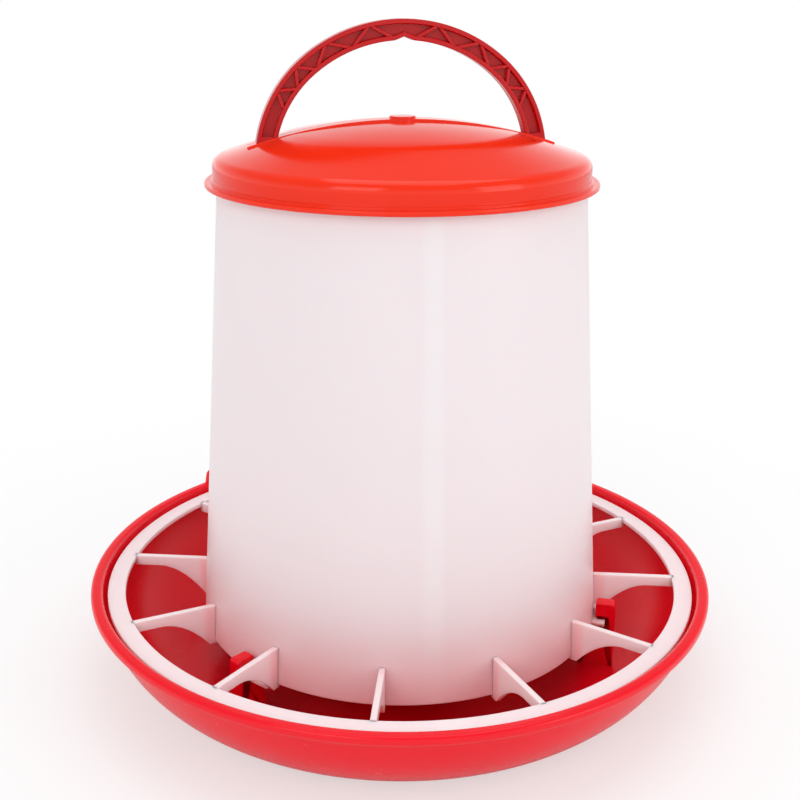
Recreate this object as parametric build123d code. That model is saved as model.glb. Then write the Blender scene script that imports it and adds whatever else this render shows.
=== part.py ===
from build123d import *
import os
from math import cos, degrees, radians, sin, sqrt

# Poultry feeder: a feed pan, a tapered hopper with its feeding grill, a lid and a
# carrying handle. Millimetres, Z up, origin on the pan's axis at the floor.
# The handle stands in the XZ plane. The feeder's front looks along -Y.

# Clearances and walls
RUN = 0.3            # gap between parts that turn or lift against each other
SNAP = 0.2           # gap around the handle's tenons in the lid
WALL = 2.0           # wall of the thin mouldings

# Feed pan
PAN_R = 180.0        # outside of the rim
RIM_Z = 55.1         # top of the rim
LIP_W = 6.7          # width of the rolled lip
LIP_H = 5.0
LIP_CUT = 1.5        # corners of the lip
BOWL_R = 67.8        # radius of the bowl's outer curve, seen in section
BOWL_DIP = 5.0       # how far that curve would reach below the flat base
FLOOR = 2.5
CONE_R = 96.0        # foot of the spreading cone in the pan's middle
CONE_TIP_R = 9.0
CONE_Z = 31.0
TAB_W = 30.0         # finger tab at the back of the rim
TAB_H = 9.0
TAB_T = 3.0
TAB_ANGLE = 124.0

# Hopper and grill
EDGE_Z = 30.1        # lower edge of the hopper above the floor
EDGE_R = 116.2       # outside of the hopper at that edge
HOPPER_TOP = 290.5
NECK_R = 98.0        # outside of the hopper at its top
RING_GAP = 2.5       # gap between the ring and the pan's lip
RING_W = 10.0
RING_T = 3.0
RING_DROP = 3.6      # top of the ring below the pan's rim
FINS = 12
FIN_T = 3.2
FIN_BAR = 6.3        # depth of the fin's straight part, at the ring
FIN_STRAIGHT = 14.8  # length of that part, where it turns into the arch
FIN_TOE = 3.0        # foot of the fin at the hopper's edge
FIN_DROP = 2.3       # how far the toe hangs below that edge
ARCH_RISE = 3.5      # rise of the arch over its chord

# Bayonet between hopper and pan
HOOKS = 3
HOOK_W = 7.4
HOOK_T = 5.3
HOOK_H = 10.0        # height of the nose over the lug
LUG_REACH = 7.0      # how far a lug stands out from the hopper
LUG_T = 2.5
LUG_SWEEP = 12.0     # degrees of lug, from the fin it grows out of
TURN_IN = 8.5        # degrees from that fin to the hook, once locked
STOP_W = 2.0
STOP_H = 3.0

# Lid
LID_OVERLAP = 10.7   # how far the lid reaches down over the hopper
FLANGE_W = 4.4       # how far the flange stands out from the band
FLANGE_T = 2.5
FLANGE_STEP = 1.0    # fine step above the flange
BAND_WALL = 1.65
SEAT_W = 3.0         # ledge that rests on the hopper's top edge
SEAT_T = 2.6         # lid over that ledge
SHOULDER = 3.6       # rounding between the band and the steep cone
STEEP_RISE = 13.0    # rise of the steep cone
KNEE_R = 61.5        # where the cone turns into the crown
CROWN_RISE = 6.2
RIB_W = 12.0
RIB_H = 1.2          # rib over the crown
RIB_END_H = 1.8      # rib over the cone, at its ends
RIB_TAIL = 4.6       # rib beyond the handle's feet
KNOB_R = 7.0
KNOB_H = 1.2

# Carrying handle
GRIP_RISE = 62.5     # top of the handle over its feet
CROWN_ARC_R = 83.6   # outer line over the middle
SIDE_ARC_R = 69.8    # outer line down each side
CROWN_ARC_TURN = 39.5
GRIP_D = 10.6        # depth of the section, outer flange to inner flange
GRIP_W = 9.0         # width of the flanges
GRIP_FLANGE = 2.4
GRIP_WEB = 2.2
FOOT_H = 4.0         # solid part of each foot
FOOT_SINK = 1.1      # how deep a foot stands in the lid's cone
POCKET_PLAY = 0.5    # gap around each foot, along the handle's line
TENON_W = 5.0
TENON_D = 5.4
BARB = 1.1
PAD_D = 13.0         # pad under the lid around each tenon
PAD_T = 3.8
NOTCH_W = 7.0
NOTCH_H = 1.9
# Zigzag ribs: degrees from the crown, first one on the inner flange.
ZIGZAG = [4.5, 12.7, 21.3, 29.5, 37.8, 44.0, 50.5, 56.8, 63.0]

lip_in = PAN_R - LIP_W
wall_top = RIM_Z - LIP_H / 2
bowl_z = BOWL_R - BOWL_DIP
bowl_centre_r = lip_in + WALL - sqrt(BOWL_R**2 - (wall_top - bowl_z) ** 2)
hopper_slope = (EDGE_R - NECK_R) / (HOPPER_TOP - EDGE_Z)


def hopper_r(z):
    """Outside radius of the hopper at height z."""
    return EDGE_R - hopper_slope * (z - EDGE_Z)


def bowl_point(radius, z):
    """Point at height z on the bowl's curve with this radius."""
    return (bowl_centre_r + sqrt(radius**2 - (z - bowl_z) ** 2), z)


def floor_z(r):
    """Height of the middle of the pan's wall at radius r."""
    out = max(0, r - bowl_centre_r)
    return max(FLOOR / 2, bowl_z - sqrt((BOWL_R - WALL / 2) ** 2 - out**2))


def arc_between(radius, z0, z1):
    """Arc of the bowl's curve from height z0 to height z1."""
    return ThreePointArc(
        bowl_point(radius, z0), bowl_point(radius, (z0 + z1) / 2), bowl_point(radius, z1)
    )


def spun(*edges):
    """Solid of revolution about Z from a closed outline in radius and height."""
    return revolve(Plane.XZ * make_face(edges), Axis.Z)


def block(x0, x1, width, z0, z1):
    """Box from x0 to x1 and z0 to z1, centred on the XZ plane."""
    return Pos((x0 + x1) / 2, 0, (z0 + z1) / 2) * Box(x1 - x0, width, z1 - z0)


def sector(r0, r1, z0, z1, start, sweep):
    """Piece of a ring, from angle start over sweep degrees."""
    section = Pos((r0 + r1) / 2, (z0 + z1) / 2) * Rectangle(r1 - r0, z1 - z0)
    return Rot(0, 0, start) * revolve(Plane.XZ * section, Axis.Z, sweep)


# Feed pan
hook_turn = -180 / FINS - TURN_IN
seat_z = EDGE_Z - SNAP
post_r = EDGE_R + LUG_REACH + RUN
nose_z = EDGE_Z + LUG_T + RUN


def pan_shell():
    """Bowl with a flat floor and a cone that spreads the feed outwards."""
    cone_slope = (CONE_Z - FLOOR) / (CONE_R - CONE_TIP_R)
    outer = arc_between(BOWL_R, 0, wall_top)
    inner = arc_between(BOWL_R - WALL, wall_top, FLOOR)
    inside = Polyline(
        inner @ 1, (CONE_R, FLOOR), (CONE_TIP_R, CONE_Z), (0, CONE_Z + 1), (0, CONE_Z + 1 - WALL)
    )
    under = Polyline(
        inside @ 1,
        (CONE_TIP_R, CONE_Z - WALL),
        (CONE_R - FLOOR / cone_slope - 1, FLOOR + 0.4),
        (CONE_R - FLOOR / cone_slope, 0),
        outer @ 0,
    )
    shell = make_face([outer, Line(outer @ 1, inner @ 0), inner, inside, under])
    lip = chamfer(Rectangle(LIP_W, LIP_H).vertices(), LIP_CUT)
    return revolve(Plane.XZ * (shell + Pos(lip_in + LIP_W / 2, wall_top) * lip), Axis.Z)


def hook():
    """Bayonet hook: a seat under the lug, a post beside it and a nose over it."""
    nose_in = hopper_r(nose_z) + RUN + 1
    nose_top = nose_z + HOOK_H
    back_r = post_r + HOOK_T
    outline = make_face(
        Polyline(
            (post_r, floor_z(post_r)),
            (back_r, floor_z(back_r)),
            (back_r, nose_top - 2),
            (back_r - 2, nose_top),
            (nose_in, nose_top),
            (nose_in, nose_z),
            (post_r, nose_z),
            (post_r, seat_z),
            (EDGE_R - WALL - 1, seat_z),
            (EDGE_R - WALL - 6, floor_z(EDGE_R - WALL - 6)),
            close=True,
        )
    )
    return extrude(Plane.XZ * outline, HOOK_W / 2, both=True)


def finger_tab():
    """Upright tab on the rim, narrower towards its top."""
    outline = make_face(
        Polyline(
            (-TAB_W / 2, wall_top),
            (TAB_W / 2, wall_top),
            (TAB_W / 2 - 2, RIM_Z + TAB_H - 3),
            (TAB_W / 2 - 5, RIM_Z + TAB_H),
            (5 - TAB_W / 2, RIM_Z + TAB_H),
            (2 - TAB_W / 2, RIM_Z + TAB_H - 3),
            close=True,
        )
    )
    tab = extrude(Plane.YZ * outline, TAB_T / 2, both=True)
    return Rot(0, 0, TAB_ANGLE) * Pos(lip_in + LIP_W / 2, 0, 0) * tab


def feed_pan():
    hooks = [Rot(0, 0, hook_turn + n * 360 / HOOKS) * hook() for n in range(HOOKS)]
    return pan_shell() + [finger_tab(), *hooks]


# Hopper
ring_r = lip_in - RING_GAP
ring_in = ring_r - RING_W
ring_z = RIM_Z - RING_DROP


def cone_wall():
    """Tapered tube, open at both ends."""
    return spun(
        Polyline(
            (EDGE_R, EDGE_Z),
            (NECK_R, HOPPER_TOP),
            (NECK_R - WALL, HOPPER_TOP),
            (EDGE_R - WALL, EDGE_Z),
            close=True,
        )
    )


def fin():
    """Upright fin: a bar at the ring that arches down to the hopper's edge."""
    toe = (EDGE_R + FIN_TOE, EDGE_Z - FIN_DROP)
    kink = (ring_in - FIN_STRAIGHT, ring_z - FIN_BAR)
    chord = (kink[0] - toe[0], kink[1] - toe[1])
    length = sqrt(chord[0] ** 2 + chord[1] ** 2)
    top_of_arch = (
        (toe[0] + kink[0]) / 2 - ARCH_RISE * chord[1] / length,
        (toe[1] + kink[1]) / 2 + ARCH_RISE * chord[0] / length,
    )
    arch = ThreePointArc(toe, top_of_arch, kink)
    rest = Polyline(
        kink,
        (ring_in + 1, ring_z - FIN_BAR),
        (ring_in + 1, ring_z),
        (hopper_r(ring_z) - WALL / 2, ring_z),
        (EDGE_R - WALL / 2, EDGE_Z),
        (EDGE_R - WALL / 2, EDGE_Z - FIN_DROP),
        toe,
    )
    return extrude(Plane.XZ * make_face([arch, rest]), FIN_T / 2, both=True)


def lug():
    """Bayonet lug on the hopper's edge, with the tooth that stops the turn."""
    start = -180 / FINS - LUG_SWEEP
    reach = EDGE_R + LUG_REACH
    hook_side = hook_turn + degrees((HOOK_W / 2 + RUN) / EDGE_R)
    sweep = degrees(STOP_W / EDGE_R)
    flat = sector(EDGE_R - WALL / 2, reach, EDGE_Z, EDGE_Z + LUG_T, start, LUG_SWEEP)
    tooth = sector(EDGE_R - WALL / 2, reach, EDGE_Z, EDGE_Z + LUG_T + STOP_H, hook_side, sweep)
    return flat + tooth


def hopper():
    ring = sector(ring_in, ring_r, ring_z - RING_T, ring_z, 0, 360)
    fins = [Rot(0, 0, (n + 0.5) * 360 / FINS) * fin() for n in range(FINS)]
    lugs = [Rot(0, 0, n * 360 / HOOKS) * lug() for n in range(HOOKS)]
    return cone_wall() + [ring, *fins, *lugs]


# Lid
seat_top = HOPPER_TOP + RUN
seat_in = NECK_R - SEAT_W
flange_z = HOPPER_TOP - LID_OVERLAP
skirt_in = hopper_r(flange_z) + RUN
band_r = skirt_in + BAND_WALL
shoulder_r = band_r - SHOULDER
shoulder_z = seat_top + SEAT_T
knee_z = shoulder_z + STEEP_RISE
crown_z = knee_z + CROWN_RISE
cone_fall = STEEP_RISE / (shoulder_r - KNEE_R)
crown_arc_r = (KNEE_R**2 / CROWN_RISE + CROWN_RISE) / 2

# Feet of the handle, on the lid's cone
side_x = (CROWN_ARC_R - SIDE_ARC_R) * sin(radians(CROWN_ARC_TURN))
side_rise = GRIP_RISE - CROWN_ARC_R + (CROWN_ARC_R - SIDE_ARC_R) * cos(radians(CROWN_ARC_TURN))


def foot_x(inset):
    """Half span of the handle's line with this inset, at the feet."""
    return side_x + sqrt((SIDE_ARC_R - inset) ** 2 - side_rise**2)


def cone_z(r):
    """Height of the lid's steep cone at radius r."""
    return knee_z - cone_fall * (r - KNEE_R)


foot_out = foot_x(0)
foot_in = foot_x(GRIP_D)
foot_mid = (foot_in + foot_out) / 2
foot_z = cone_z(foot_mid) - FOOT_SINK
grip_top = foot_z + GRIP_RISE
pad_z = foot_z - PAD_T


def under_grip(inset):
    """Area below the handle's outer line once that line has moved in by inset."""
    turn = radians(CROWN_ARC_TURN)
    foot = foot_x(inset)
    side_r = SIDE_ARC_R - inset
    crown_r = CROWN_ARC_R - inset
    knee = (crown_r * sin(turn), grip_top - CROWN_ARC_R + crown_r * cos(turn))
    right = RadiusArc((foot, foot_z), knee, -side_r)
    crown = ThreePointArc(knee, (0, grip_top - inset), (-knee[0], knee[1]))
    left = RadiusArc((-knee[0], knee[1]), (-foot, foot_z), -side_r)
    return make_face([right, crown, left, Line((-foot, foot_z), (foot, foot_z))])


def crown_dome(drop):
    """Gentle arc of the lid's middle, lowered by drop."""
    return RadiusArc((KNEE_R, knee_z - drop), (0, crown_z - drop), -crown_arc_r)


def lid_outside():
    """Stepped flange, upright band, steep cone and gentle crown, as a full solid."""
    flange_r = band_r + FLANGE_W
    step_z = flange_z + FLANGE_T
    corner = SHOULDER * (1 - sqrt(0.5))
    edge = Polyline(
        (0, crown_z),
        (0, flange_z),
        (flange_r, flange_z),
        (flange_r, step_z),
        (band_r + FLANGE_STEP, step_z),
        (band_r + FLANGE_STEP, step_z + FLANGE_STEP),
        (band_r, step_z + FLANGE_STEP),
        (band_r, shoulder_z - SHOULDER),
        (band_r - corner, shoulder_z - corner),
        (shoulder_r, shoulder_z),
        (KNEE_R, knee_z),
    )
    return spun(edge, crown_dome(0))


def lid_hollow():
    """Room under the lid, with the ledge that rests on the hopper's top edge."""
    inside = Polyline(
        (0, crown_z - WALL),
        (0, flange_z - 1),
        (skirt_in, flange_z - 1),
        (skirt_in, seat_top),
        (seat_in, seat_top),
        (seat_in, cone_z(seat_in) - WALL),
        (KNEE_R, knee_z - WALL),
    )
    return spun(inside, crown_dome(WALL))


def lid_rib():
    """Low rib over the lid under the handle, with a small knob in its middle."""
    half = foot_out + RIB_TAIL
    end_z = cone_z(half) + RIB_END_H
    rib_top = crown_z + RIB_H
    top = ThreePointArc((-half, end_z), (0, rib_top), (half, end_z))
    rest = Polyline((half, end_z), (half, seat_top), (-half, seat_top), (-half, end_z))
    rib = extrude(Plane.XZ * make_face([top, rest]), RIB_W / 2, both=True)
    knob = Pos(0, 0, rib_top) * Cylinder(KNOB_R, 2 * KNOB_H + WALL / 2)
    return rib + knob


def lid():
    cover = lid_outside() + lid_rib() - lid_hollow()
    slot_half = TENON_W / 2 + SNAP + BARB / 2
    for side in (-1, 1):
        x0 = side * foot_mid
        cover += block(x0 - PAD_D / 2, x0 + PAD_D / 2, RIB_W, pad_z, foot_z)
        cover -= block(x0 - slot_half, x0 + slot_half, TENON_D + 2 * SNAP, seat_top, grip_top)
    pockets = under_grip(-POCKET_PLAY) - under_grip(GRIP_D + POCKET_PLAY)
    return cover - extrude(Plane.XZ * pockets, GRIP_W / 2 + SNAP, both=True)


# Carrying handle
def line_point(inset, angle):
    """Point of the handle's line at this angle from the crown."""
    turn = radians(angle)
    if abs(angle) < CROWN_ARC_TURN:
        radius = CROWN_ARC_R - inset
        return Vector(radius * sin(turn), grip_top - CROWN_ARC_R + radius * cos(turn))
    side = 1 if angle > 0 else -1
    radius = SIDE_ARC_R - inset
    return Vector(side * side_x + radius * sin(turn), foot_z + side_rise + radius * cos(turn))


def zigzag():
    """Ribs that run back and forth between the middles of the two flanges."""
    insets = [GRIP_D - GRIP_FLANGE / 2, GRIP_FLANGE / 2]
    bars = []
    for side in (-1, 1):
        points = [line_point(insets[i % 2], side * turn) for i, turn in enumerate(ZIGZAG)]
        for p, q in zip(points, points[1:]):
            lean = Vector(1, 0).get_signed_angle(q - p)
            bars.append(Pos((p + q) / 2) * Rot(0, 0, lean) * Rectangle((q - p).length, GRIP_FLANGE * 0.7))
    return bars


def wedge(half_width, base_z, tip_z):
    """Small triangle in the middle of the handle."""
    return make_face(Polyline((-half_width, base_z), (half_width, base_z), (0, tip_z), close=True))


def grip_section():
    """Everything of the handle that is as wide as its flanges."""
    band = under_grip(0) - under_grip(GRIP_D)
    outer = under_grip(0) - under_grip(GRIP_FLANGE)
    inner = under_grip(GRIP_D - GRIP_FLANGE) - under_grip(GRIP_D)
    feet = band & (Pos(0, foot_z) * Rectangle(2 * foot_out + 2, 2 * FOOT_H))
    under = grip_top - GRIP_D
    bulge = wedge(2 * NOTCH_W, under + GRIP_FLANGE / 2, under + GRIP_FLANGE + NOTCH_H)
    notch = wedge(NOTCH_W, under - NOTCH_H, under + NOTCH_H)
    return outer + [inner, feet, bulge, *zigzag()] - notch


def tenon(side):
    """Snap tenon under a foot, with a barb that catches below the lid's pad."""
    x0 = side * foot_mid
    stem = block(x0 - TENON_W / 2, x0 + TENON_W / 2, TENON_D, pad_z - 3, foot_z + 1)
    tip = x0 - side * TENON_W / 2
    outline = make_face(
        Polyline(
            (tip + side, pad_z - 3),
            (tip, pad_z - 3),
            (tip - side * BARB, pad_z - 1.5),
            (tip - side * BARB, pad_z - SNAP),
            (tip + side, pad_z - SNAP),
            close=True,
        )
    )
    return stem + extrude(Plane.XZ * outline, TENON_D / 2, both=True)


def carry_handle():
    cover = under_grip(GRIP_FLANGE / 2) - under_grip(GRIP_D - GRIP_FLANGE / 2)
    web = extrude(Plane.XZ * cover, GRIP_WEB / 2, both=True)
    section = extrude(Plane.XZ * grip_section(), GRIP_W / 2, both=True)
    return section + [web, tenon(-1), tenon(1)]


os.makedirs("parts", exist_ok=True)
export_step(feed_pan(), "parts/feed_pan.step")
export_step(hopper(), "parts/hopper.step")
export_step(lid(), "parts/lid.step")
export_step(carry_handle(), "parts/carry_handle.step")
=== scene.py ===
# %% [markdown]
# # A poultry feeder, dressed for its picture
# The feeder has four mouldings: a crimson feed pan, a milky hopper with its feeding
# grill, an orange-red lid and a dark crimson carrying handle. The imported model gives
# each of them its true place and size. Its meshes are made of flat facets, and gloss
# shows every one of them, so each moulding gets a finer surface here, worked out with
# numpy from the same sizes, with the small rounded edges that a mould leaves.

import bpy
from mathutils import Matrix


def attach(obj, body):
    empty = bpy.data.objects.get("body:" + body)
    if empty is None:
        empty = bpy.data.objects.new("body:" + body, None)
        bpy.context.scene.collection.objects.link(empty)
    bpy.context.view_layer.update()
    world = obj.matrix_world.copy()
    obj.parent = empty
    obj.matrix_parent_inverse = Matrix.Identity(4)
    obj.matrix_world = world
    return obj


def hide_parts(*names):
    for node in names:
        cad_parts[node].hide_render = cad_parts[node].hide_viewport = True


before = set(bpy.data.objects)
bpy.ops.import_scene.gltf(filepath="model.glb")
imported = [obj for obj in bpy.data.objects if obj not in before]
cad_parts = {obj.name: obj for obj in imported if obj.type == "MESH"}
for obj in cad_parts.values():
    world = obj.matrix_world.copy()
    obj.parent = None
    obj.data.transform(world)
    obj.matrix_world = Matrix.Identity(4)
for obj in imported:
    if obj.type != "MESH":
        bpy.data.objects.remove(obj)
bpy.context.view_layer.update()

# %% Other modules and the unit
import math

import bmesh
import bpy
import numpy as np

MM = 0.001

# %% [markdown]
# ## From arrays to a mesh
# Every surface below is a grid of points: one parameter runs along its rows, the other
# along its columns. A grid that closes on itself needs faces over the seam, and the
# ends of a bar need caps. One helper does both, so that the shapes can stay formulas.

# %% Grid to mesh
def grid_faces(rows, columns, wrap_rows, wrap_columns):
    """Corner numbers of each cell: point (i, j) joins (i+1, j), (i+1, j+1) and (i, j+1),
    counted round the seam where the grid closes on itself."""
    i = np.arange(rows if wrap_rows else rows - 1)[:, None]
    j = np.arange(columns if wrap_columns else columns - 1)[None, :]
    i2, j2 = (i + 1) % rows, (j + 1) % columns
    cells = [a * columns + b for a, b in ((i, j), (i2, j), (i2, j2), (i, j2))]
    return np.stack(np.broadcast_arrays(*cells), -1).reshape(-1, 4)


def make_piece(name, grids, merge=2e-6):
    """One mesh object from several grids in millimetres. Each grid is
    (points, wrap_rows, wrap_columns, caps); caps close the first and last row."""
    points, faces, start = [], [], 0
    for grid, wrap_rows, wrap_columns, caps in grids:
        rows, columns = grid.shape[:2]
        points.append(grid.reshape(-1, 3))
        faces += (grid_faces(rows, columns, wrap_rows, wrap_columns) + start).tolist()
        if caps:
            last = start + (rows - 1) * columns
            faces.append(list(range(start, start + columns)))
            faces.append(list(range(last + columns - 1, last - 1, -1)))
        start += rows * columns
    mesh = bpy.data.meshes.new(name)
    mesh.from_pydata(np.concatenate(points) * MM, [], faces)
    work = bmesh.new()
    work.from_mesh(mesh)
    bmesh.ops.remove_doubles(work, verts=work.verts, dist=merge)
    bmesh.ops.recalc_face_normals(work, faces=work.faces)
    work.to_mesh(mesh)
    work.free()
    mesh.shade_smooth()
    piece = bpy.data.objects.new(name, mesh)
    bpy.context.collection.objects.link(piece)
    print(name, len(mesh.vertices), "points", len(mesh.polygons), "faces")
    return piece


# %% [markdown]
# ## Rounded outlines
# A moulding has no knife edges. An outline is given as a few corners, and each corner
# is cut back by a small length and bridged by a parabola. Points crowd towards the
# ends of the straight runs, so that smooth shading stays flat in between.

# %% Rounded outline
RUN_STEPS = 9
CORNER_STEPS = 6


def crowd(steps):
    """Numbers from 0 to 1 that crowd at both ends: u^3 / (u^3 + (1 - u)^3)."""
    u = np.linspace(0, 1, steps + 1)
    return u**3 / (u**3 + (1 - u) ** 3)


def rounded(corners, cuts, closed=False):
    """Outline through rounded corners. Corner P with neighbours becomes the parabola
    (1-t)^2 A + 2t(1-t) P + t^2 C, where A and C lie the cut length away from P."""
    p = np.asarray(corners, float)
    cut = np.broadcast_to(np.asarray(cuts, float), (len(p),))[:, None]
    before, after = np.roll(p, 1, 0) - p, np.roll(p, -1, 0) - p
    a = p + cut * before / np.linalg.norm(before, axis=1, keepdims=True)
    c = p + cut * after / np.linalg.norm(after, axis=1, keepdims=True)
    if not closed:
        a[0] = c[0] = p[0]
        a[-1] = c[-1] = p[-1]
    t = np.linspace(0, 1, CORNER_STEPS + 1)[None, :, None]
    bends = (1 - t) ** 2 * a[:, None] + 2 * t * (1 - t) * p[:, None] + t**2 * c[:, None]
    s = crowd(RUN_STEPS)[None, 1:-1, None]
    runs = c[:, None] + s * (np.roll(a, -1, 0) - c)[:, None]
    line = np.concatenate([bends, runs], 1).reshape(-1, 2)
    if not closed:
        line = line[: -(RUN_STEPS - 1)]
    keep = np.linalg.norm(line - np.roll(line, 1, 0), axis=1) > 1e-4
    if not closed:
        keep[0] = True
    return line[keep]


def arc(centre, radius, start, end, steps):
    """Points of a circle from angle start to angle end, in degrees from the x axis."""
    a = np.radians(np.linspace(start, end, steps + 1))
    return np.stack([centre[0] + radius * np.cos(a), centre[1] + radius * np.sin(a)], 1)


def lathe(profile, sectors=224, closed=True):
    """Surface of revolution: (r, z) goes to (r cos a, r sin a, z) for a full turn."""
    a = np.linspace(0, 2 * np.pi, sectors, endpoint=False)[None, :]
    r, z = profile[:, :1], profile[:, 1:]
    grid = np.stack([r * np.cos(a), r * np.sin(a), z + 0 * a], -1)
    return grid, closed, True, False


def turned(grid, degrees):
    """The same grid, turned about the Z axis by the rotation matrix of that angle."""
    a = math.radians(degrees)
    points, *rest = grid
    spin = np.array([[math.cos(a), math.sin(a), 0], [-math.sin(a), math.cos(a), 0], [0, 0, 1]])
    return (points @ spin, *rest)


def plate(outline, thickness, edge, place):
    """Flat plate with rounded rim: the outline shrinks by edge (1 - cos b) along its own
    normal while the height runs to thickness / 2 - edge (1 - sin b), and a last ring
    one edge further in keeps the flat side flat. place puts (u, v, height) in space."""
    ahead, behind = np.roll(outline, -1, 0), np.roll(outline, 1, 0)
    along = ahead - behind
    along /= np.linalg.norm(along, axis=1, keepdims=True)
    normal = np.stack([along[:, 1], -along[:, 0]], 1)
    area = np.sum(outline[:, 0] * ahead[:, 1] - ahead[:, 0] * outline[:, 1])
    normal *= np.sign(area)
    b = np.radians(np.linspace(0, 90, 5))
    shrink = edge * (1 - np.cos(b))
    height = thickness / 2 - edge * (1 - np.sin(b))
    shrink = np.concatenate([[2 * edge], shrink[::-1], shrink, [2 * edge]])
    height = np.concatenate([[thickness / 2], height[::-1], -height, [-thickness / 2]])
    rings = outline[None] - shrink[:, None, None] * normal[None]
    flat = np.concatenate([rings, np.broadcast_to(height[:, None, None], rings.shape[:2] + (1,))], 2)
    return place(flat), False, True, True


def upright(flat):
    """Plate in the XZ plane: (u, v, height) goes to (u, height, v)."""
    return flat[..., [0, 2, 1]]


# %% [markdown]
# ## The feed pan
# The pan is a round bowl with a rolled lip. Its side is one circle's arc in section,
# concentric inside and out, and under the hopper a low cone pushes the feed outwards.
# A lathe form needs only that section, so it is drawn once and turned round Z.

# %% Feed pan bowl
PAN_R, RIM_Z, LIP_W, LIP_H = 180.0, 55.1, 6.7, 5.0
BOWL_R, BOWL_DIP, WALL, FLOOR = 67.8, 5.0, 2.0, 2.5
CONE_R, CONE_TIP_R, CONE_Z = 96.0, 9.0, 31.0
LIP_IN = PAN_R - LIP_W
BOWL_Z = BOWL_R - BOWL_DIP
BOWL_CENTRE = (LIP_IN + WALL - math.sqrt(BOWL_R**2 - (RIM_Z - LIP_H / 2 - BOWL_Z) ** 2), BOWL_Z)
BASE_R = BOWL_CENTRE[0] + math.sqrt(BOWL_R**2 - BOWL_Z**2)
print("middle of the bowl's curve:", np.round(BOWL_CENTRE, 2), "flat base out to", round(BASE_R, 2))


def bowl_angle(radius, z):
    """Angle at which the bowl's circle reaches height z: asin((z - centre) / radius)."""
    return math.degrees(math.asin((z - BOWL_CENTRE[1]) / radius))


def pan_profile():
    """Section of the bowl from the cone's tip over the floor, up the inner arc, round
    the lip, down the outer arc and back below the floor."""
    inner_r = BOWL_R - WALL
    under_cone = CONE_R - FLOOR * (CONE_R - CONE_TIP_R) / (CONE_Z - FLOOR)
    top = rounded([(0, CONE_Z + 1), (CONE_TIP_R, CONE_Z), (CONE_R, FLOOR), (128, FLOOR)], [0, 8, 6, 0])
    inner = arc(BOWL_CENTRE, inner_r, bowl_angle(inner_r, FLOOR + 0.9), bowl_angle(inner_r, 47), 28)
    corner_z = RIM_Z - LIP_H
    lip = rounded(
        [inner[-1], (LIP_IN, corner_z + 1.5), (LIP_IN, RIM_Z), (PAN_R, RIM_Z), (PAN_R, corner_z),
         (LIP_IN + 3.3, corner_z - 0.2), (LIP_IN + 0.9, corner_z - 3.6)],
        [0, 1.2, 2.4, 2.4, 1.9, 1.2, 0],
    )
    outer = arc(BOWL_CENTRE, BOWL_R, bowl_angle(BOWL_R, 46), bowl_angle(BOWL_R, 0.6), 32)
    under = rounded(
        [outer[-1], (BASE_R - 0.6, 0), (under_cone, 0), (under_cone - 1, 2.9),
         (CONE_TIP_R, CONE_Z - WALL), (0, CONE_Z - WALL + 1)],
        [0, 0.7, 0.8, 0.8, 4, 0],
    )
    return np.concatenate([top, inner, lip[1:-1], outer, under[1:]])


bowl = lathe(pan_profile(), closed=False)

# %% [markdown]
# ## Hooks and tab of the pan
# Three hooks hold the hopper down: each has a seat, a post and a nose over the
# hopper's lug. They are flat ribs in the mould, so a rounded plate is their true form.

# %% Hooks and finger tab
EDGE_Z, EDGE_R, HOPPER_TOP, NECK_R = 30.1, 116.2, 290.5, 98.0
RUN = 0.3
LUG_REACH, LUG_T = 7.0, 2.5
HOOK_W, HOOK_T, HOOK_H = 7.4, 5.3, 10.0
HOOK_TURNS = (-23.5, 96.5, 216.5)
TAB_W, TAB_H, TAB_T, TAB_TURN = 30.0, 9.0, 3.0, 124.0


def hook_grid(turn):
    """Outline of a hook in radius and height, as thick as the hook is wide."""
    post = EDGE_R + LUG_REACH + RUN
    nose_z = EDGE_Z + LUG_T + RUN
    nose = EDGE_R + 1.1
    outline = rounded(
        [(post + HOOK_T, 1.3), (post + HOOK_T, nose_z + HOOK_H), (nose, nose_z + HOOK_H), (nose, nose_z),
         (post, nose_z), (post, EDGE_Z - 0.2), (EDGE_R - WALL - 1, EDGE_Z - 0.2), (EDGE_R - WALL - 6, 1.3)],
        [0.2, 3.2, 1.6, 1.0, 0.4, 0.4, 0.6, 0.2],
        closed=True,
    )
    return turned(plate(outline, HOOK_W, 0.9, upright), turn)


def tab_grid():
    """Upright tab across the lip, narrower towards its top."""
    half, top = TAB_W / 2, RIM_Z + TAB_H
    outline = rounded(
        [(-half, RIM_Z - 2.5), (half, RIM_Z - 2.5), (half - 2, top - 2), (half - 5, top), (5 - half, top), (2 - half, top - 2)],
        [0.3, 0.3, 1.5, 2, 2, 1.5],
        closed=True,
    )
    middle = PAN_R - LIP_W / 2
    across = plate(outline, TAB_T, 0.8, lambda f: np.stack([middle + f[..., 2], f[..., 0], f[..., 1]], -1))
    return turned(across, TAB_TURN)


feed_pan = make_piece("feed_pan_moulding", [bowl, *map(hook_grid, HOOK_TURNS), tab_grid()])

# %% [markdown]
# ## The hopper and its grill
# The hopper is a tapered tube two millimetres thick. A flat ring stands round its foot
# on twelve fins, and the birds eat through the bays between them. Tube and ring are
# lathe forms again. A fin is a bar whose lower edge is straight near the ring and then
# arches down to the hopper's edge, so it is carried along the radius.

# %% Hopper tube, ring, fins and lugs
RING_W, RING_T, RING_R, RING_Z = 10.0, 3.0, LIP_IN - 2.5, RIM_Z - 3.6
FINS, FIN_T, FIN_BAR, FIN_TOE, FIN_DROP = 12, 3.2, 6.3, 3.0, 2.3
FIN_KINK_R = RING_R - RING_W - 14.8
ARCH_RISE = 3.5
LUG_SWEEP, STOP_W, STOP_H = 12.0, 2.0, 3.0


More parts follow.
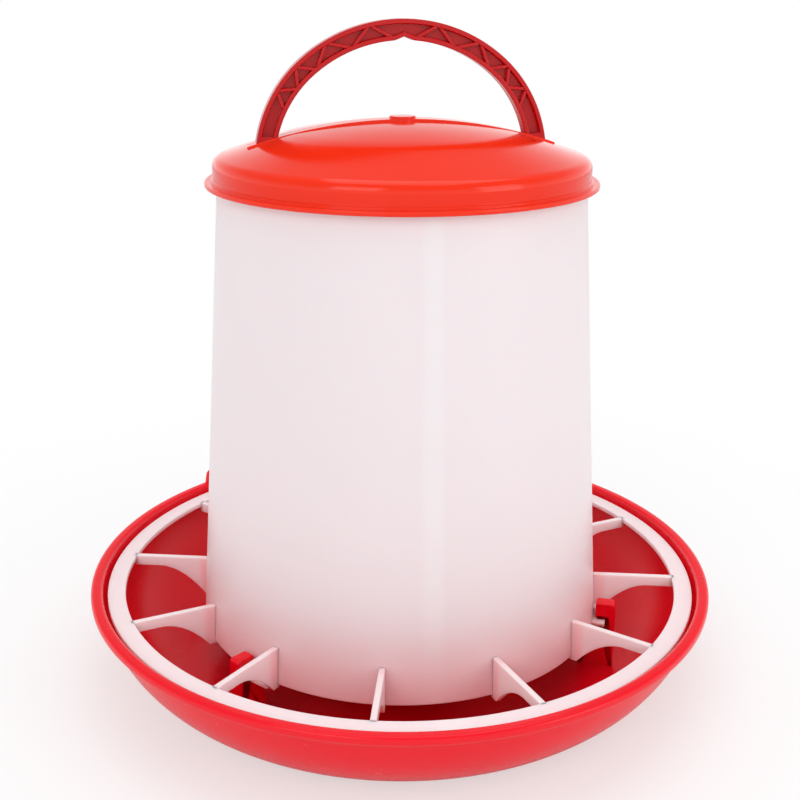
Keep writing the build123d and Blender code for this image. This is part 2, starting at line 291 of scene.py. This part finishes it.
def hopper_r(z):
    """Outside radius at height z, on a straight line from the edge to the neck."""
    return EDGE_R + (NECK_R - EDGE_R) * (z - EDGE_Z) / (HOPPER_TOP - EDGE_Z)


def tube_profile():
    """Closed section of the wall, with its two ends rounded over."""
    return rounded(
        [(EDGE_R, EDGE_Z), (NECK_R, HOPPER_TOP), (NECK_R - WALL, HOPPER_TOP), (EDGE_R - WALL, EDGE_Z)],
        [0.6, 0.7, 0.7, 0.6],
        closed=True,
    )


def ring_profile():
    """Closed section of the ring: a flat bar with rounded edges."""
    low = RING_Z - RING_T
    return rounded(
        [(RING_R - RING_W, low), (RING_R, low), (RING_R, RING_Z), (RING_R - RING_W, RING_Z)], 0.7, closed=True
    )


def fin_low(r):
    """Lower edge of a fin at radius r: level under the toe, then the chord from toe to
    kink plus lift * 4 s (1 - s), and level again beyond the kink."""
    toe_r, toe_z = EDGE_R + FIN_TOE, EDGE_Z - FIN_DROP
    run, climb = FIN_KINK_R - toe_r, RING_Z - FIN_BAR - toe_z
    s = np.clip((r - toe_r) / run, 0, 1)
    lift = ARCH_RISE * math.hypot(run, climb) / run
    return toe_z + climb * s + 4 * lift * s * (1 - s)


def fin_grid(edge=0.55):
    """Fin as a rounded bar along the radius. The lower half of its section follows the
    lower edge and the upper half stays level with the ring, so the rounding never
    stretches and no flat side has to be cut along a hollow outline."""
    toe_r, end_r = EDGE_R + FIN_TOE, RING_R - RING_W + 1
    r = np.concatenate([np.linspace(EDGE_R - 1.7, toe_r, 5), np.linspace(toe_r, FIN_KINK_R, 33)[1:],
                        np.linspace(FIN_KINK_R, end_r, 7)[1:]])[:, None]
    half = FIN_T / 2
    section = rounded([(-half, -2), (half, -2), (half, 2), (-half, 2)], edge, closed=True)
    y, v = section[None, :, 0], section[None, :, 1]
    z = np.where(v < 0, fin_low(r) + v + 2, RING_Z + v - 2)
    return np.stack([r + 0 * y, y + 0 * r, z], -1), False, True, True


def lug_grid(start, sweep, height):
    """Flat lug round part of the edge: a rounded bar carried along an arc, from angle
    start over sweep, both in degrees. The tooth that stops the turn is a taller one."""
    top = EDGE_Z + height
    section = rounded(
        [(EDGE_R - 1, EDGE_Z), (EDGE_R + LUG_REACH, EDGE_Z), (EDGE_R + LUG_REACH, top), (EDGE_R - 1, top)],
        0.5, closed=True,
    )
    a = np.radians(np.linspace(start, start + sweep, 25))[:, None]
    r, z = section[None, :, 0], section[None, :, 1]
    return np.stack([r * np.cos(a), r * np.sin(a), z + 0 * a], -1), False, True, True


fins = [turned(fin_grid(), (n + 0.5) * 360 / FINS) for n in range(FINS)]
lugs = [lug_grid(turn + 8.5 - LUG_SWEEP, LUG_SWEEP, LUG_T) for turn in HOOK_TURNS]
hook_side = math.degrees((HOOK_W / 2 + RUN) / EDGE_R)
stops = [lug_grid(turn + hook_side, math.degrees(STOP_W / EDGE_R), LUG_T + STOP_H) for turn in HOOK_TURNS]
hopper = make_piece("hopper_moulding", [lathe(tube_profile()), lathe(ring_profile()), *fins, *lugs, *stops])

# %% [markdown]
# ## The lid
# The lid is thin and stepped: a flange, a fine step, a short band with a rounded
# shoulder, a steep cone and a gentle crown. Turned on a lathe it is one closed
# section. A low rib runs over it under the handle, with a flat knob in its middle.

# %% Lid shell, rib and knob
FLANGE_Z, FLANGE_W, FLANGE_T, FLANGE_STEP = HOPPER_TOP - 10.7, 4.4, 2.5, 1.0
SKIRT_IN = hopper_r(FLANGE_Z) + RUN
BAND_R = SKIRT_IN + 1.65
SEAT_TOP, SEAT_IN = HOPPER_TOP + RUN, NECK_R - 3.0
SHOULDER, SHOULDER_Z = 3.6, SEAT_TOP + 2.6
KNEE_R, KNEE_Z, CROWN_RISE = 61.5, SHOULDER_Z + 13.0, 6.2
CROWN_Z = KNEE_Z + CROWN_RISE
CONE_FALL = 13.0 / (BAND_R - SHOULDER - KNEE_R)
RIB_W, RIB_CROWN, RIB_HALF = 12.0, CROWN_Z + 1.2, 82.4
RIB_END = KNEE_Z - CONE_FALL * (RIB_HALF - KNEE_R) + 1.8
KNOB_R, KNOB_H = 7.0, 1.2


def crown_line(drop, steps):
    """Gentle crown from the knee to the middle: z falls with the square of r."""
    r = np.linspace(KNEE_R, 0, steps + 1)
    return np.stack([r, CROWN_Z - drop - CROWN_RISE * (r / KNEE_R) ** 2], 1)


def lid_profile():
    """Section of the lid, outside from flange to crown, then inside back to the rim."""
    step = FLANGE_Z + FLANGE_T
    flange = BAND_R + FLANGE_W
    outside = rounded(
        [(SKIRT_IN, FLANGE_Z), (flange, FLANGE_Z), (flange, step), (BAND_R + FLANGE_STEP, step - 0.2),
         (BAND_R + FLANGE_STEP, step + FLANGE_STEP), (BAND_R, step + FLANGE_STEP + 0.4),
         (BAND_R, SHOULDER_Z + 0.4), (KNEE_R, KNEE_Z), (KNEE_R - 6, KNEE_Z + 1.15)],
        [0, 0.9, 0.9, 0.4, 0.4, 0.4, 4.4, 5, 0],
    )
    crown = crown_line(0, 40)
    inside = rounded(
        [(KNEE_R, KNEE_Z - WALL), (SEAT_IN, KNEE_Z - WALL - CONE_FALL * (SEAT_IN - KNEE_R)),
         (SEAT_IN, SEAT_TOP), (SKIRT_IN, SEAT_TOP), (SKIRT_IN, FLANGE_Z)],
        [0, 0.4, 0.4, 0.6, 0],
    )
    inner_crown = crown_line(WALL, 20)[::-1]
    return np.concatenate([outside[:-1], crown[crown[:, 0] < KNEE_R - 6], inner_crown, inside[1:-1]])


def rib_grid():
    """Bar over the lid: its top follows the circle through ends and crown, and its
    section is a rounded rectangle that reaches into the lid's wall."""
    rise = RIB_CROWN - RIB_END
    radius = (RIB_HALF**2 + rise**2) / (2 * rise)
    x = RIB_HALF * np.linspace(-1, 1, 121)[:, None]
    top = RIB_CROWN - radius + np.sqrt(radius**2 - x**2)
    section = rounded([(-RIB_W / 2, -2.9), (RIB_W / 2, -2.9), (RIB_W / 2, 0), (-RIB_W / 2, 0)], 0.45, closed=True)
    y, lift = section[None, :, 0], section[None, :, 1]
    return np.stack([x + 0 * y, y + 0 * x, top + lift], -1), False, True, True


knob = lathe(
    rounded([(0, RIB_CROWN - 2), (KNOB_R, RIB_CROWN - 2), (KNOB_R, RIB_CROWN + KNOB_H), (0, RIB_CROWN + KNOB_H)],
            [0, 0.2, 0.5, 0]), sectors=64, closed=False)
lid = make_piece("lid_moulding", [lathe(lid_profile()), rib_grid(), knob])

# %% [markdown]
# ## The carrying handle
# The handle is an arch of I section. Its outer line is two circles that meet smoothly,
# so any line of the section is the same pair of circles with a smaller radius. The
# section is carried along that arch. Zigzag ribs fill the channels on both sides, and
# the inner flange jumps up over a small notch where a hook can hold the feeder.

# %% Handle
GRIP_RISE, CROWN_ARC_R, SIDE_ARC_R, CROWN_ARC_TURN = 62.5, 83.6, 69.8, 39.5
GRIP_D, GRIP_W, GRIP_FLANGE, GRIP_WEB = 10.6, 9.0, 2.4, 2.2
FOOT_Z = KNEE_Z - CONE_FALL * (72.42 - KNEE_R) - 1.1
GRIP_TOP = FOOT_Z + GRIP_RISE
NOTCH_W, NOTCH_H = 7.0, 1.9
ZIGZAG = [4.5, 12.7, 21.3, 29.5, 37.8, 44.0, 50.5, 56.8, 63.0]
BEND = math.radians(CROWN_ARC_TURN)
SIDE_X = (CROWN_ARC_R - SIDE_ARC_R) * math.sin(BEND)
SIDE_Z = GRIP_TOP - CROWN_ARC_R + (CROWN_ARC_R - SIDE_ARC_R) * math.cos(BEND)


def arch_point(inset, angle):
    """Point of the arch: circle centre + (radius - inset) (sin angle, cos angle), with
    the crown's circle in the middle and a side circle past the bend on each side."""
    inset, angle = np.broadcast_arrays(inset, angle)
    side = np.abs(angle) > BEND
    radius = np.where(side, SIDE_ARC_R, CROWN_ARC_R) - inset
    x = np.where(side, np.sign(angle) * SIDE_X, 0) + radius * np.sin(angle)
    z = np.where(side, SIDE_Z, GRIP_TOP - CROWN_ARC_R) + radius * np.cos(angle)
    return x, z


def arch_sweep(section, start, end, steps):
    """Section (inset, y) carried along the arch. A share t of the way to a foot turns to
    the angle t acos((foot - centre) / (radius - inset)), so both feet end level. Near
    the middle the inner flange is lifted by notch height * (1 - |x| / width)."""
    inset, y = section[None, :, 0], section[None, :, 1]
    t = np.linspace(start, end, steps + 1)[:, None]
    angle = t * np.arccos((FOOT_Z - SIDE_Z) / (SIDE_ARC_R - inset))
    x, z = arch_point(inset, angle)
    tent = np.clip(1 - np.abs(x) / (NOTCH_W * 0.8), 0, 1)
    inner = np.clip((inset - (GRIP_D - GRIP_FLANGE - 0.6)) / 0.6, 0, 1)
    z = z + NOTCH_H * tent**1.3 * inner
    return np.stack([x, y + 0 * x, z], -1), False, True, True


def i_section():
    """Rounded outline of the I: two flanges and the web between them."""
    w, f, d, h = GRIP_W / 2, GRIP_FLANGE, GRIP_D, GRIP_WEB / 2
    corners = [(0, -w), (0, w), (f, w), (f, h), (d - f, h), (d - f, w), (d, w), (d, -w),
               (d - f, -w), (d - f, -h), (f, -h), (f, -w)]
    return rounded(corners, [0.6, 0.6, 0.5, 0.5, 0.5, 0.5, 0.6, 0.6, 0.5, 0.5, 0.5, 0.5], closed=True)


def foot_section():
    """Rounded rectangle as deep and wide as the whole I."""
    w = GRIP_W / 2 - 0.1
    return rounded([(0.1, -w), (0.1, w), (GRIP_D - 0.1, w), (GRIP_D - 0.1, -w)], 0.6, closed=True)


def zigzag_bars():
    """Ribs between points that lie in turn on the inner and the outer flange. Each is a
    rounded bar: middle of the run + along * s + across * section."""
    turns = np.radians(ZIGZAG)
    insets = np.where(np.arange(len(turns)) % 2 == 0, GRIP_D - GRIP_FLANGE / 2, GRIP_FLANGE / 2)
    x, z = arch_point(insets, turns)
    bars = []
    section = rounded([(-0.85, -4.1), (0.85, -4.1), (0.85, 4.1), (-0.85, 4.1)], 0.45, closed=True)
    for side in (-1, 1):
        p = np.stack([side * x, z], 1)
        for a, b in zip(p[:-1], p[1:]):
            run = (b - a) / np.linalg.norm(b - a)
            across = np.array([-run[1], run[0]])
            s = np.linspace(0, 1, 5)[:, None, None]
            flat = a + s * (b - a) + section[None, :, :1] * across
            y = np.broadcast_to(section[None, :, 1:], flat.shape[:2] + (1,))
            bars.append((np.concatenate([flat[..., :1], y, flat[..., 1:]], 2), False, True, True))
    return bars


handle = make_piece("handle_moulding", [
    arch_sweep(i_section(), -1, 1, 300),
    arch_sweep(foot_section(), 0.955, 1, 6),
    arch_sweep(foot_section(), -1, -0.955, 6),
    *zigzag_bars(),
])

# %% [markdown]
# ## Writing shader maths as Python
# A material is a network of nodes. A small class wraps one output socket, so that
# sums, products and powers of sockets can be written as plain expressions, and one
# method makes every other kind of node.

# %% Sockets with operators
class Sock:
    """A node's output. Operators on it add Math nodes to the same material."""

    def __init__(self, tree, socket):
        self.tree, self.socket = tree, socket

    def maths(self, operation, other, flip=False):
        pair = (other, self) if flip else (self, other)
        return self.tree.node("ShaderNodeMath", {"operation": operation}, {0: pair[0], 1: pair[1]})[0]

    def __add__(self, other):
        return self.maths("ADD", other)

    def __radd__(self, other):
        return self.maths("ADD", other, flip=True)

    def __sub__(self, other):
        return self.maths("SUBTRACT", other)

    def __rsub__(self, other):
        return self.maths("SUBTRACT", other, flip=True)

    def __mul__(self, other):
        return self.maths("MULTIPLY", other)

    def __rmul__(self, other):
        return self.maths("MULTIPLY", other, flip=True)

    def __truediv__(self, other):
        return self.maths("DIVIDE", other)

    def __pow__(self, other):
        return self.maths("POWER", other)


class Finish:
    """A material under construction: its node tree and the ways to add to it."""

    def __init__(self, name):
        self.material = bpy.data.materials.new(name)
        self.material.use_nodes = True
        self.tree = self.material.node_tree
        self.shader = self.tree.nodes["Principled BSDF"]

    def node(self, kind, settings=None, inputs=None):
        """Adds a node: settings first, then values or links. Returns its outputs."""
        made = self.tree.nodes.new(kind)
        for key, value in (settings or {}).items():
            if key == "stops":
                ramp = made.color_ramp
                while len(ramp.elements) < len(value):
                    ramp.elements.new(0.5)
                for element, (place, colour) in zip(ramp.elements, value):
                    element.position, element.color = place, colour
            else:
                setattr(made, key, value)
        for key, value in (inputs or {}).items():
            self.give(made.inputs[key], value)
        return [Sock(self, s) for s in made.outputs]

    def give(self, socket, value):
        """Sets a socket to a value or links another socket to it."""
        if isinstance(value, Sock):
            self.tree.links.new(value.socket, socket)
        else:
            socket.default_value = value

    def set(self, **values):
        """Values or links for the shader's own sockets; an underscore is a space."""
        for key, value in values.items():
            self.give(self.shader.inputs[key.replace("_", " ")], value)

    def place(self):
        """Object coordinates."""
        return self.node("ShaderNodeTexCoord")[3]

    def noise(self, where, scale, detail=2.0, rough=0.5):
        return self.node("ShaderNodeTexNoise", None, {"Vector": where, "Scale": scale, "Detail": detail, "Roughness": rough})[0]

    def ramp(self, value, stops):
        return self.node("ShaderNodeValToRGB", {"stops": stops}, {0: value})[0]

    def mix(self, share, a, b):
        """Colour a where share is 0 and colour b where it is 1."""
        made = self.tree.nodes.new("ShaderNodeMix")
        made.data_type = "RGBA"
        for key, value in ((0, share), (6, a), (7, b)):
            self.give(made.inputs[key], value)
        return Sock(self, made.outputs[2])

    def bump(self, height, strength, distance):
        return self.node("ShaderNodeBump", None, {"Strength": strength, "Distance": distance, "Height": height})[0]


def step_up(tree, value, low, high):
    """0 below low, 1 above high and smooth in between."""
    return tree.node("ShaderNodeMapRange", {"interpolation_type": "SMOOTHSTEP"},
                     {"Value": value, "From Min": low, "From Max": high})[0]


# %% [markdown]
# ## Glossy coloured plastic
# Pan, lid and handle are injection mouldings. Their colour is even, with only a faint
# cloud in it. Their gloss varies more: handling leaves it duller in soft patches and
# hairline scuffs. Fine dust sits in a few specks. All of it follows the object's own
# coordinates, so that it stays in place when a piece moves.

# %% Coloured plastic
def coloured_plastic(name, colour, cloud, roughness, ripple=0.00003):
    """Glossy plastic: colour with a soft cloud, patchy gloss, hairlines and specks."""
    m = Finish(name)
    here = m.place()
    soft = m.noise(here, 14.0, 3.0)
    fine = m.noise(here, 420.0, 2.0)
    stretched = m.node("ShaderNodeMapping", None, {"Vector": here, "Rotation": (0.3, 0.2, 0.7), "Scale": (30, 900, 120)})[0]
    hairs = step_up(m, m.noise(stretched, 1.0, 3.0), 0.66, 0.74)
    grain = m.node("ShaderNodeTexVoronoi", {"feature": "F1"}, {"Vector": here, "Scale": 55.0})
    pick = m.node("ShaderNodeSeparateColor", None, {0: grain[1]})[0]
    speck = (1 - step_up(m, grain[0], 0.018, 0.03)) * step_up(m, pick, 0.975, 0.98)
    tone = m.mix(soft, colour, cloud)
    tone = m.mix(speck * 0.75, tone, (colour[0] * 0.12, 0.01, 0.01, 1))
    m.set(Base_Color=tone, Roughness=roughness + 0.06 * soft + 0.10 * hairs)
    m.set(IOR=1.40)
    m.set(Normal=m.bump(0.25 * fine - 0.5 * hairs, 0.25, ripple))
    return m.material


crimson = coloured_plastic("crimson_plastic", (0.84, 0.0015, 0.013, 1), (0.78, 0.001, 0.011, 1), 0.17)
orange_red = coloured_plastic("orange_red_plastic", (0.84, 0.026, 0.003, 1), (0.79, 0.021, 0.002, 1), 0.10)
dark_crimson = coloured_plastic("dark_crimson_plastic", (0.52, 0.003, 0.005, 1), (0.46, 0.002, 0.004, 1), 0.20)

# %% [markdown]
# ## Milky plastic
# The hopper lets light into its wall and scatters it there, so the wall glows a little; subsurface scattering does
# that. The pink at its foot is painted red bounce light from the pan below, and a lighter upright strip is a
# painted highlight. Fine rings from the mould and a few long scratches break up its gloss.

# %% Milky plastic
def milky_plastic(name):
    """White plastic with depth: subsurface light, mould rings and scratches. Its foot is tinted pink with painted
    red bounce light from the crimson pan, and a painted highlight runs up the side that faces the camera."""
    m = Finish(name)
    here = m.place()
    soft = m.noise(here, 9.0, 3.0)
    x, y, z = m.node("ShaderNodeSeparateXYZ", None, {0: here})
    rings = m.noise(m.node("ShaderNodeCombineXYZ", None, {2: z * 1.0})[0], 700.0, 2.0)
    tilted = m.node("ShaderNodeMapping", None, {"Vector": here, "Rotation": (0.5, 0.4, 0.3), "Scale": (25, 40, 1400)})[0]
    scratch = step_up(m, m.noise(tilted, 1.0, 2.0), 0.70, 0.76)
    # painted highlight: a lighter upright strip on the side of the hopper that faces the camera, where a soft
    # lamp's edge shines
    bearing = m.node("ShaderNodeMath", {"operation": "ARCTAN2"}, {0: y, 1: x})[0]
    off_highlight = m.node("ShaderNodeMath", {"operation": "ABSOLUTE"}, {0: bearing - HIGHLIGHT_BEARING})[0]
    painted_highlight = 1 - step_up(m, off_highlight, 0.02, 0.07)
    radius = (x * x + y * y) ** 0.5
    # painted red bounce light: the foot of the hopper is tinted pink as if lit by the red pan below
    foot = (1 - step_up(m, z, 0.030, 0.084)) * (1 - step_up(m, radius, 0.119, 0.124))
    tone = m.mix(soft, (0.91, 0.775, 0.79, 1), (0.89, 0.745, 0.76, 1))
    tone = m.mix(painted_highlight * 0.35, tone, (0.94, 0.87, 0.88, 1))
    tone = m.mix(foot * 0.6, tone, (1.0, 0.48, 0.50, 1))
    m.set(Base_Color=tone, Roughness=0.29 + 0.06 * soft + 0.08 * scratch)
    m.set(IOR=1.49, Subsurface_Weight=0.6, Subsurface_Scale=0.006)
    m.shader.inputs["Subsurface Radius"].default_value = (1.0, 0.75, 0.7)
    m.set(Normal=m.bump(0.10 * rings - 0.3 * scratch, 0.25, 0.00004))
    return m.material


# bearing of the painted highlight strip round the hopper
HIGHLIGHT_BEARING = math.radians(-92.0)
white = milky_plastic("white_plastic")

# %% [markdown]
# ## Putting the pieces on the model
# Each surface takes the place of the imported solid that it follows, rides on the same body, so that the lid lifts
# and the hopper turns, and takes its plastic.

# %% Dress the bodies
for piece, node, body, plastic, slot in (
    (feed_pan, "feed_pan", "pan", crimson, "crimson_plastic"),
    (hopper, "hopper", "hopper", white, "white_plastic"),
    (lid, "lid", "lid", orange_red, "orange_red_plastic"),
    (handle, "carry_handle", "lid", dark_crimson, "dark_crimson_plastic"),
):
    piece.data.materials.append(plastic)
    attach(piece, body)
    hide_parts(node)
    print(piece.name, "rides on", body)

# %% [markdown]
# ## Floor, light and camera
# The feeder stands in a white studio. The floor and the world are seen by the camera
# as white, while the lamps stay soft and plain. The camera was worked out from the
# ellipses of the pan's ring and the lid in the photograph.

# %% Floor and world
def stage_floor():
    """A large round floor that fades into the world's white."""
    a = np.linspace(0, 2 * np.pi, 96, endpoint=False)[None, :]
    r = np.array([0.0, 400.0, 1500.0, 6000.0])[:, None]
    grid = np.stack([r * np.cos(a), r * np.sin(a), -0.2 + 0 * r * a], -1)
    floor = make_piece("studio_floor", [(grid, False, True, False)])
    m = Finish("studio_floor_paint")
    m.set(Base_Color=(0.86, 0.86, 0.87, 1), Roughness=0.6)
    seen = m.node("ShaderNodeLightPath")[0]
    glow = m.node("ShaderNodeEmission", None, {"Color": (1, 1, 1, 1), "Strength": 1.0})[0]
    x, y, z = m.node("ShaderNodeSeparateXYZ", None, {0: m.place()})
    far = step_up(m, (x * x + y * y) ** 0.5, 0.16, 0.55)
    blend = m.node("ShaderNodeMixShader", None,
                   {0: seen * (0.55 + 0.45 * far), 1: Sock(m, m.shader.outputs[0]), 2: glow})[0]
    m.give(m.tree.nodes["Material Output"].inputs["Surface"], blend)
    floor.data.materials.append(m.material)
    return floor


stage_floor()
AMBIENT, HORIZON, OVERHEAD = 0.92, 1.3, 0.35
world = bpy.data.worlds.new("studio_world")
bpy.context.scene.world = world
world.use_nodes = True
background = world.node_tree.nodes["Background"]
sky = world.node_tree


def sky_maths(operation, *inputs):
    """One Math node in the world's tree, with numbers or sockets as its inputs."""
    made = sky.nodes.new("ShaderNodeMath")
    made.operation = operation
    for socket, value in zip(made.inputs, inputs):
        if isinstance(value, bpy.types.NodeSocket):
            sky.links.new(value, socket)
        else:
            socket.default_value = value
    return made.outputs[0]


path = sky.nodes.new("ShaderNodeLightPath")
split = sky.nodes.new("ShaderNodeSeparateXYZ")
sky.links.new(sky.nodes.new("ShaderNodeTexCoord").outputs["Generated"], split.inputs[0])
height = sky_maths("ABSOLUTE", split.outputs[2])
near_horizon = sky_maths("SUBTRACT", 1.0, sky_maths("MINIMUM", sky_maths("MULTIPLY", height, 1.9), 1.0))
mirrored = sky_maths("MULTIPLY_ADD", near_horizon, HORIZON - OVERHEAD, OVERHEAD)
lit = sky_maths("MULTIPLY_ADD", path.outputs["Is Glossy Ray"], sky_maths("SUBTRACT", mirrored, AMBIENT), AMBIENT)
level = sky_maths("MAXIMUM", path.outputs["Is Camera Ray"], lit)
background.inputs["Color"].default_value = (1, 1, 1, 1)
sky.links.new(level, background.inputs["Strength"])

# %% Lamps
def soft_lamp(name, place, target, size, watts, colour=(1, 1, 1)):
    """Square area lamp at place, looking at target, all in metres."""
    light = bpy.data.lights.new(name, "AREA")
    light.shape, light.size, light.size_y = "RECTANGLE", size[0], size[1]
    light.energy, light.color = watts, colour
    lamp = bpy.data.objects.new(name, light)
    bpy.context.collection.objects.link(lamp)
    place, target = np.array(place), np.array(target)
    from mathutils import Vector
    lamp.location = place
    lamp.rotation_euler = Vector(target - place).to_track_quat("-Z", "Y").to_euler()
    return lamp


soft_lamp("key_lamp", (-1.0, -1.3, 1.1), (0, 0, 0.18), (0.9, 0.9), 5)
soft_lamp("fill_lamp", (1.2, -1.1, 0.7), (0, 0, 0.18), (0.8, 1.0), 4)
soft_lamp("top_lamp", (0.1, 0.2, 1.6), (0, 0, 0.2), (1.2, 1.2), 5)

# %% Camera
LENS, SENSOR = 53.13, 36.0
TURN, PITCH, ROLL = math.radians(10.5), math.radians(18.98), -0.0054
DISTANCE, HEIGHT, ASIDE = 0.6382, 0.3757, -0.0017
data = bpy.data.cameras.new("camera")
data.lens, data.sensor_width = LENS, SENSOR
camera = bpy.data.objects.new("camera", data)
bpy.context.collection.objects.link(camera)
camera.location = (
    -DISTANCE * math.sin(TURN) + ASIDE * math.cos(TURN),
    -DISTANCE * math.cos(TURN) - ASIDE * math.sin(TURN),
    HEIGHT,
)
camera.rotation_euler = (math.pi / 2 - PITCH, ROLL, -TURN)
bpy.context.scene.camera = camera
bpy.context.scene.view_settings.view_transform = "Standard"
print("camera at", [round(c, 4) for c in camera.location])
